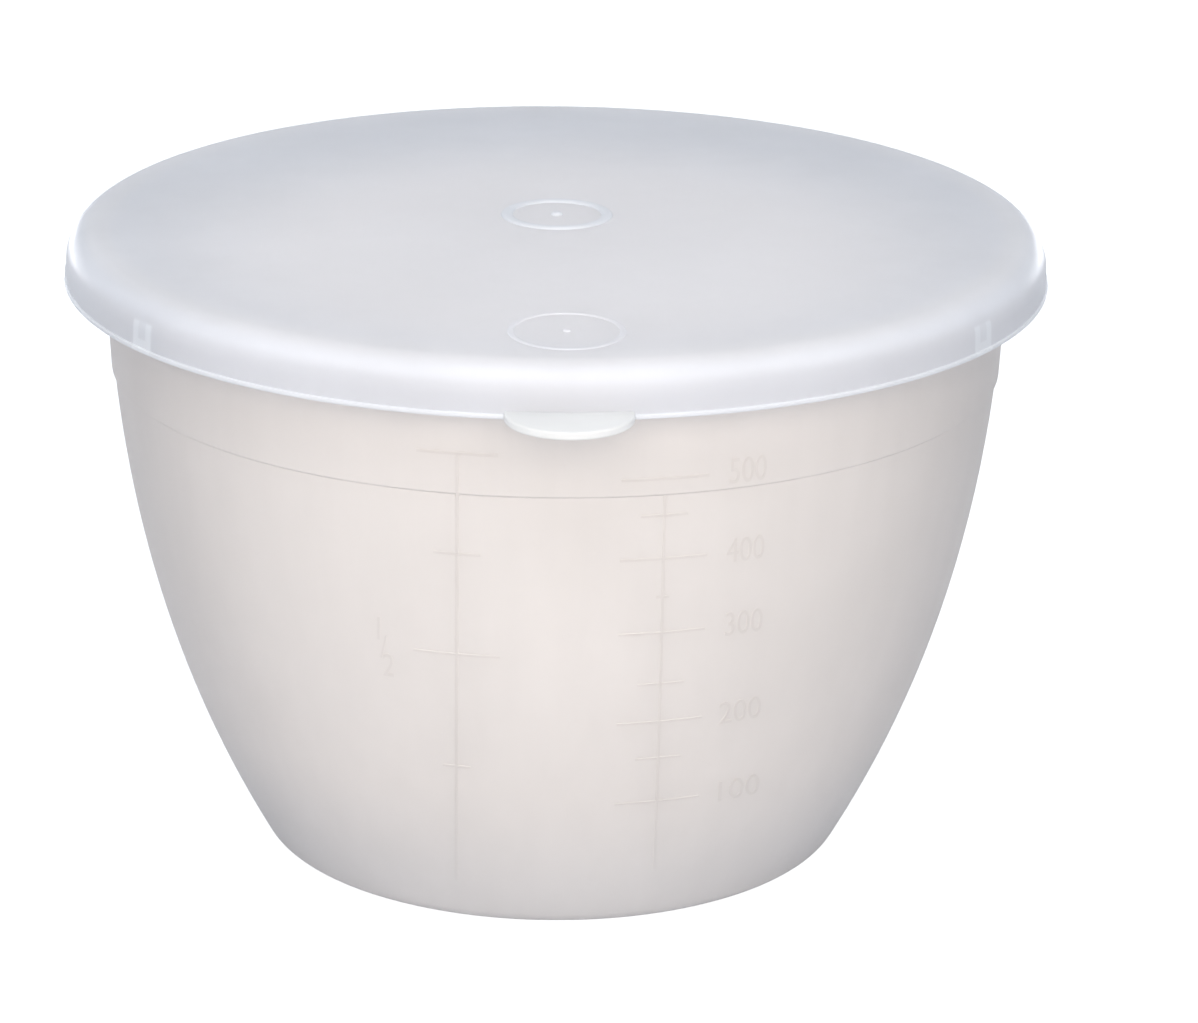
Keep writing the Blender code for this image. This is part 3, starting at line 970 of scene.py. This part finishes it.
def scale_words(size):
    """The scale's plain figures, with their places in its flat drawing and their widths."""
    # Heights above the foot in millimetres, and widths as shares of the usual one
    heights = (20.2, 32.5, 45.4, 55.6, 66.3)
    widths = (1.3, 1.15, 1.05, 1.0, 1.0)
    words = []
    for text, height, width in zip(size.quantities.split(), heights, widths):
        words.append((text, (size.figure_offset, height * MM, 0), width * size.figure_width))
    # The fraction leans: each part's place beside its middle and above the foot, in millimetres
    for text, aside, height in (("1", -1.1, 44.4), ("/", -0.5, 41.9), ("2", 0.1, 39.3)):
        place = (aside * MM - size.fraction_offset, height * MM, 0)
        words.append((text, place, size.figure_width))
    return words


def tab_outline(size):
    """The tab's round edge, closed by an arc inside the skirt's wall, which carries it."""
    edge_steps, carrier_steps = 64, 16
    skirt_radius = size.lip_radius - size.lip_standout
    carrier = skirt_radius - size.wall / 2
    middle = Vector((0, -skirt_radius))
    # Where the tab's circle crosses the circle in the middle of the skirt's wall
    depth = (carrier ** 2 - size.tab_radius ** 2 + skirt_radius ** 2) / (2 * skirt_radius)
    half_width = math.sqrt(carrier ** 2 - depth ** 2)
    start = math.atan2(skirt_radius - depth, half_width)
    outline = []
    for i in range(edge_steps + 1):
        turn = start - (math.pi + 2 * start) * i / edge_steps
        outline.append(middle + size.tab_radius * Vector((math.cos(turn), math.sin(turn))))
    swing = math.asin(half_width / carrier)
    for i in range(1, carrier_steps):
        turn = -swing + 2 * swing * i / carrier_steps
        outline.append(carrier * Vector((math.sin(turn), -math.cos(turn))))
    return outline


def lug_mesh(size):
    """One lug at the front of the skirt: a block with rounded lower corners and a shallow pocket."""
    inner_radius = size.lip_radius - size.lip_standout - size.wall
    half = size.lug_width / 2
    rounding = 0.35 * size.lug_width
    sides = ((-half, size.lug_top), (-half, size.lug_foot), (half, size.lug_foot), (half, size.lug_top))
    corners = [point(*side) for side in sides]
    outline = [
        corners[0],
        *rounded(corners[0], corners[1], corners[2], rounding),
        *rounded(corners[1], corners[2], corners[3], rounding),
        corners[3],
    ]
    mesh = extruded("lug", outline, inner_radius - size.lug_depth, inner_radius + size.wall / 2)
    with edited(mesh) as bm:
        ends = [face for face in bm.faces if len(face.verts) > 4]
        inner_face = min(ends, key=lambda face: face.calc_center_median().z)
        bmesh.ops.inset_region(bm, faces=[inner_face], thickness=size.lug_rib, depth=-size.lug_pocket)
    # Stand the drawing up, so that its depth runs outwards along -Y
    mesh.transform(Matrix.Rotation(UPRIGHT, 4, "X"))
    return mesh


class BasinOperator(bpy.types.Operator):
    """Make the basin from its section"""

    bl_idname = "pudding_basin.make_basin"
    bl_label = "Make Basin"

    def execute(self, context):
        settings = context.scene.pudding_basin
        section, segments = basin_section(settings.basin), settings.basin.segments
        basin = turned_piece("basin_moulding", section, segments, basin_plastic(settings))
        hand_over(basin, "basin", "basin")
        return {"FINISHED"}


class ScaleOperator(bpy.types.Operator):
    """Make the raised measuring scale on the basin's wall"""

    bl_idname = "pudding_basin.make_scale"
    bl_label = "Make Scale"

    def execute(self, context):
        settings = context.scene.pudding_basin
        size = settings.scale
        wall = bpy.data.objects["basin_moulding"]
        turns = (UPRIGHT, 0.0, size.turn)
        laid_as = laying(wall, turns, size.relief, SCALE_SINK, basin_plastic(settings, marks=True))
        values = {"Line Width": size.line_width, "Top Share": 0.5, "Steps": 65, **laid_as}
        lines = grown("scale_lines", scale_marks(size), lines_tree(), values)
        hand_over(lines, "basin")

        tree = figures_tree()
        figures = []
        for text, place, width in scale_words(size):
            values = {"Figures": text, "Figure Size": size.figure_height, "Figure Width": width}
            values.update({"Place": place, **laid_as})
            figures.append(grown(f"figure_{len(figures)}", mesh_of("none", []), tree, values))
        hand_over(joined("scale_figures", figures), "basin")
        return {"FINISHED"}


class LidOperator(bpy.types.Operator):
    """Make the lid's crowned top, shoulder and skirt from their section"""

    bl_idname = "pudding_basin.make_lid"
    bl_label = "Make Lid"

    def execute(self, context):
        settings = context.scene.pudding_basin
        section, segments = lid_section(settings.lid), settings.basin.segments
        lid = turned_piece("lid_moulding", section, segments, lid_plastic(settings))
        hand_over(lid, "lid", "lid")
        return {"FINISHED"}


class TabOperator(bpy.types.Operator):
    """Make the lifting tab at the skirt's foot"""

    bl_idname = "pudding_basin.make_tab"
    bl_label = "Make Tab"

    def execute(self, context):
        settings = context.scene.pudding_basin
        size = settings.lid
        top = size.skirt_bottom + size.tab_thickness
        mesh = extruded("lid_tab", tab_outline(size), size.skirt_bottom, top)
        # The tab gets its greyer copy of the lid's plastic as painted shade
        mesh.materials.append(thick_plastic(settings, "lid_tab_shaded_plastic", settings.lid_plastic.tab))
        mesh.shade_smooth()
        mesh.set_sharp_from_angle(angle=math.radians(50))
        tab = new_object("lid_tab", mesh)
        soft_edge = tab.modifiers.new("soft_edge", "BEVEL")
        soft_edge.width = size.tab_rounding
        soft_edge.segments = 4
        soft_edge.limit_method = "ANGLE"
        soft_edge.angle_limit = math.radians(60)
        soft_edge.harden_normals = True
        hand_over(tab, "lid")
        return {"FINISHED"}


class LugsOperator(bpy.types.Operator):
    """Make the lugs inside the skirt that hold the lid under the basin's rim"""

    bl_idname = "pudding_basin.make_lugs"
    bl_label = "Make Lugs"

    def execute(self, context):
        settings = context.scene.pudding_basin
        size = settings.lid
        lug = new_object("lug", lug_mesh(size))
        turns = [-size.lug_spread, size.lug_spread, math.pi]
        starts = points_with("lug_points", [(0, 0, 0)] * len(turns), turn=turns)
        # The lugs get the paler plastic of the painted highlight
        plastic = thick_plastic(settings, "lid_thick_highlight_plastic", settings.lid_plastic.thick)
        values = {"Piece": lug, "Sharp Angle": math.radians(40), "Material": plastic}
        lugs = grown("lid_lugs", starts, repeat_tree(), values)
        bpy.data.objects.remove(lug)
        hand_over(lugs, "lid")
        return {"FINISHED"}


class RingsOperator(bpy.types.Operator):
    """Make the two raised rings on the lid, each round its small boss"""

    bl_idname = "pudding_basin.make_rings"
    bl_label = "Make Rings"

    def execute(self, context):
        settings = context.scene.pudding_basin
        size = settings.rings
        tree = ring_tree()
        top = bpy.data.objects["lid_moulding"]
        # The middle ring gets the paler plastic of the painted highlight
        bold = thick_plastic(settings, "lid_thick_highlight_plastic", settings.lid_plastic.thick)
        faint = lid_plastic(settings)
        centre = (0.0, size.centre_width, size.centre_relief, size.centre_boss, bold)
        front = (size.front_distance, size.front_width, size.front_relief, size.front_boss, faint)
        for name, ring in (("lid_centre_ring", centre), ("lid_front_ring", front)):
            distance, width, relief, boss, plastic = ring
            values = {
                "Centre": (0.0, -distance, 0.0),
                "Ring Radius": size.radius,
                "Ring Width": width,
                "Boss Radius": boss,
                "Boss Rise": size.boss_rise,
                **laying(top, (0.0, 0.0, 0.0), relief, relief, plastic),
            }
            hand_over(grown(name, mesh_of("none", []), tree, values), "lid")
        return {"FINISHED"}


# Stage

def seen_directly(tree):
    """One for what the camera, gloss and clear plastic show, and none for light on the object."""
    path = add_node(tree, "ShaderNodeLightPath").outputs
    seen = sums(tree, "MAXIMUM", path["Is Camera Ray"], path["Is Glossy Ray"])
    return sums(tree, "MAXIMUM", seen, path["Is Transmission Ray"])


def add_lamp(name, place, spread, power, tint):
    """A soft lamp at a place, of this width and height, that points at the middle of the object."""
    data = bpy.data.lights.new(name, "AREA")
    data.shape = "RECTANGLE"
    data.size, data.size_y = spread
    data.energy = power
    data.color = tint
    lamp = new_object(name, data)
    lamp.location = place
    lamp.rotation_euler = (LIGHT_AIM - Vector(place)).to_track_quat("-Z", "Y").to_euler()
    return lamp


class StageOperator(bpy.types.Operator):
    """Make the pale floor, the soft studio light and the camera"""

    bl_idname = "pudding_basin.make_stage"
    bl_label = "Make Stage"

    def execute(self, context):
        look = context.scene.pudding_basin.stage
        self.make_floor(look)
        self.make_room(context, look)
        self.make_lamps(look)
        self.make_camera(context)
        context.scene.view_settings.view_transform = "Standard"
        return {"FINISHED"}

    def make_floor(self, look):
        """A plain floor that looks white where no shadow falls on it."""
        material = bpy.data.materials.new("floor_paint")
        tree = emptied(material)
        paint = result(tree, "ShaderNodeBsdfDiffuse", {"Color": look.floor})
        lift = {"Color": WHITE, "Strength": sums(tree, "MULTIPLY", seen_directly(tree), FLOOR_LIFT)}
        lift = result(tree, "ShaderNodeEmission", lift)
        both = result(tree, "ShaderNodeAddShader", {0: paint, 1: lift})
        add_node(tree, "ShaderNodeOutputMaterial", {"Surface": both})
        # Just under the foot, so that the two faces don't coincide
        half, level = 6.0, -0.02 * MM
        corners = [(-half, -half, level), (half, -half, level), (half, half, level), (-half, half, level)]
        mesh = mesh_of("floor", corners, faces=[(0, 1, 2, 3)])
        mesh.materials.append(material)
        new_object("floor", mesh)

    def make_room(self, context, look):
        """Even light from all round, weaker and bluer from the two sides."""
        world = bpy.data.worlds.new("studio")
        context.scene.world = world
        tree = emptied(world)
        towards = result(tree, "ShaderNodeTexCoord", output="Generated")
        sideways = sums(tree, "ABSOLUTE", axes_of(tree, towards)["X"])
        ahead = [look.room * part for part in look.room_tint]
        aside = [look.room_sides * part for part in look.sides_tint]
        sky = blended(tree, sideways, ahead, aside)
        sky = blended(tree, seen_directly(tree), sky, WHITE)
        sky = result(tree, "ShaderNodeBackground", {"Color": sky, "Strength": 1.0})
        add_node(tree, "ShaderNodeOutputWorld", {"Surface": sky})

    def make_lamps(self, look):
        """A broad lamp and a low one in front, one above, and a small low one behind each side."""
        add_lamp("front_light", (0.0, -0.95, 0.52), (1.0, 0.5), look.key_power, look.key_tint)
        add_lamp("low_light", (-0.06, -0.95, 0.14), (1.1, 0.25), look.low_power, look.key_tint)
        for x in (-0.45, 0.45):
            back = add_lamp("back_light", (x, 0.84, 0.045), (0.3, 0.06), look.back_power, look.top_tint)
            # Its mirror image would blow out the edges of the basin and lid
            back.visible_glossy = False
        add_lamp("top_light", (-0.08, -0.3, 0.75), (0.5, 0.5), look.top_power, look.top_tint)

    def make_camera(self, context):
        """The camera of the photograph, fitted to its outline."""
        data = bpy.data.cameras.new("camera")
        data.sensor_fit = "HORIZONTAL"
        data.sensor_width = 36.0
        data.lens = 159.06
        data.clip_start, data.clip_end = 0.01, 50.0
        camera = new_object("camera", data)
        heading, pitch, roll = math.radians(-2.05), math.radians(18.82), math.radians(0.71)
        turn = Matrix.Rotation(heading, 4, "Z")
        tilt = Matrix.Rotation(UPRIGHT - pitch, 4, "X")
        place = turn @ Vector((5.9 * MM, -659.2 * MM, 267.6 * MM))
        camera.matrix_world = Matrix.Translation(place) @ turn @ tilt @ Matrix.Rotation(roll, 4, "Z")
        context.scene.camera = camera


class PuddingBasinPanel(bpy.types.Panel):
    """The pieces and their settings in the sidebar"""

    bl_idname = "VIEW3D_PT_pudding_basin"
    bl_label = "Pudding Basin"
    bl_space_type = "VIEW_3D"
    bl_region_type = "UI"
    bl_category = "Pudding Basin"

    def draw(self, context):
        settings = context.scene.pudding_basin
        for operator in OPERATORS:
            self.layout.operator(operator.bl_idname)
        for group_name in settings.__annotations__:
            group = getattr(settings, group_name)
            box = self.layout.box()
            box.label(text=group_name.replace("_", " ").title())
            for name in group.__annotations__:
                box.prop(group, name)


GROUPS = (BasinSizes, LidSizes, RingSizes, ScaleSizes, BasinPlastic, LidPlastic, StageLook, PuddingBasin)
OPERATORS = (
    BasinOperator,
    ScaleOperator,
    LidOperator,
    TabOperator,
    LugsOperator,
    RingsOperator,
    StageOperator,
)
CLASSES = (*GROUPS, *OPERATORS, PuddingBasinPanel)


def register():
    for made in CLASSES:
        bpy.utils.register_class(made)
    bpy.types.Scene.pudding_basin = PointerProperty(type=PuddingBasin)


def unregister():
    del bpy.types.Scene.pudding_basin
    for made in reversed(CLASSES):
        bpy.utils.unregister_class(made)


def main():
    """Make every piece and the stage."""
    register()
    bpy.ops.pudding_basin.make_basin()
    bpy.ops.pudding_basin.make_scale()
    bpy.ops.pudding_basin.make_lid()
    bpy.ops.pudding_basin.make_tab()
    bpy.ops.pudding_basin.make_lugs()
    bpy.ops.pudding_basin.make_rings()
    bpy.ops.pudding_basin.make_stage()


if __name__ == "__main__":
    main()
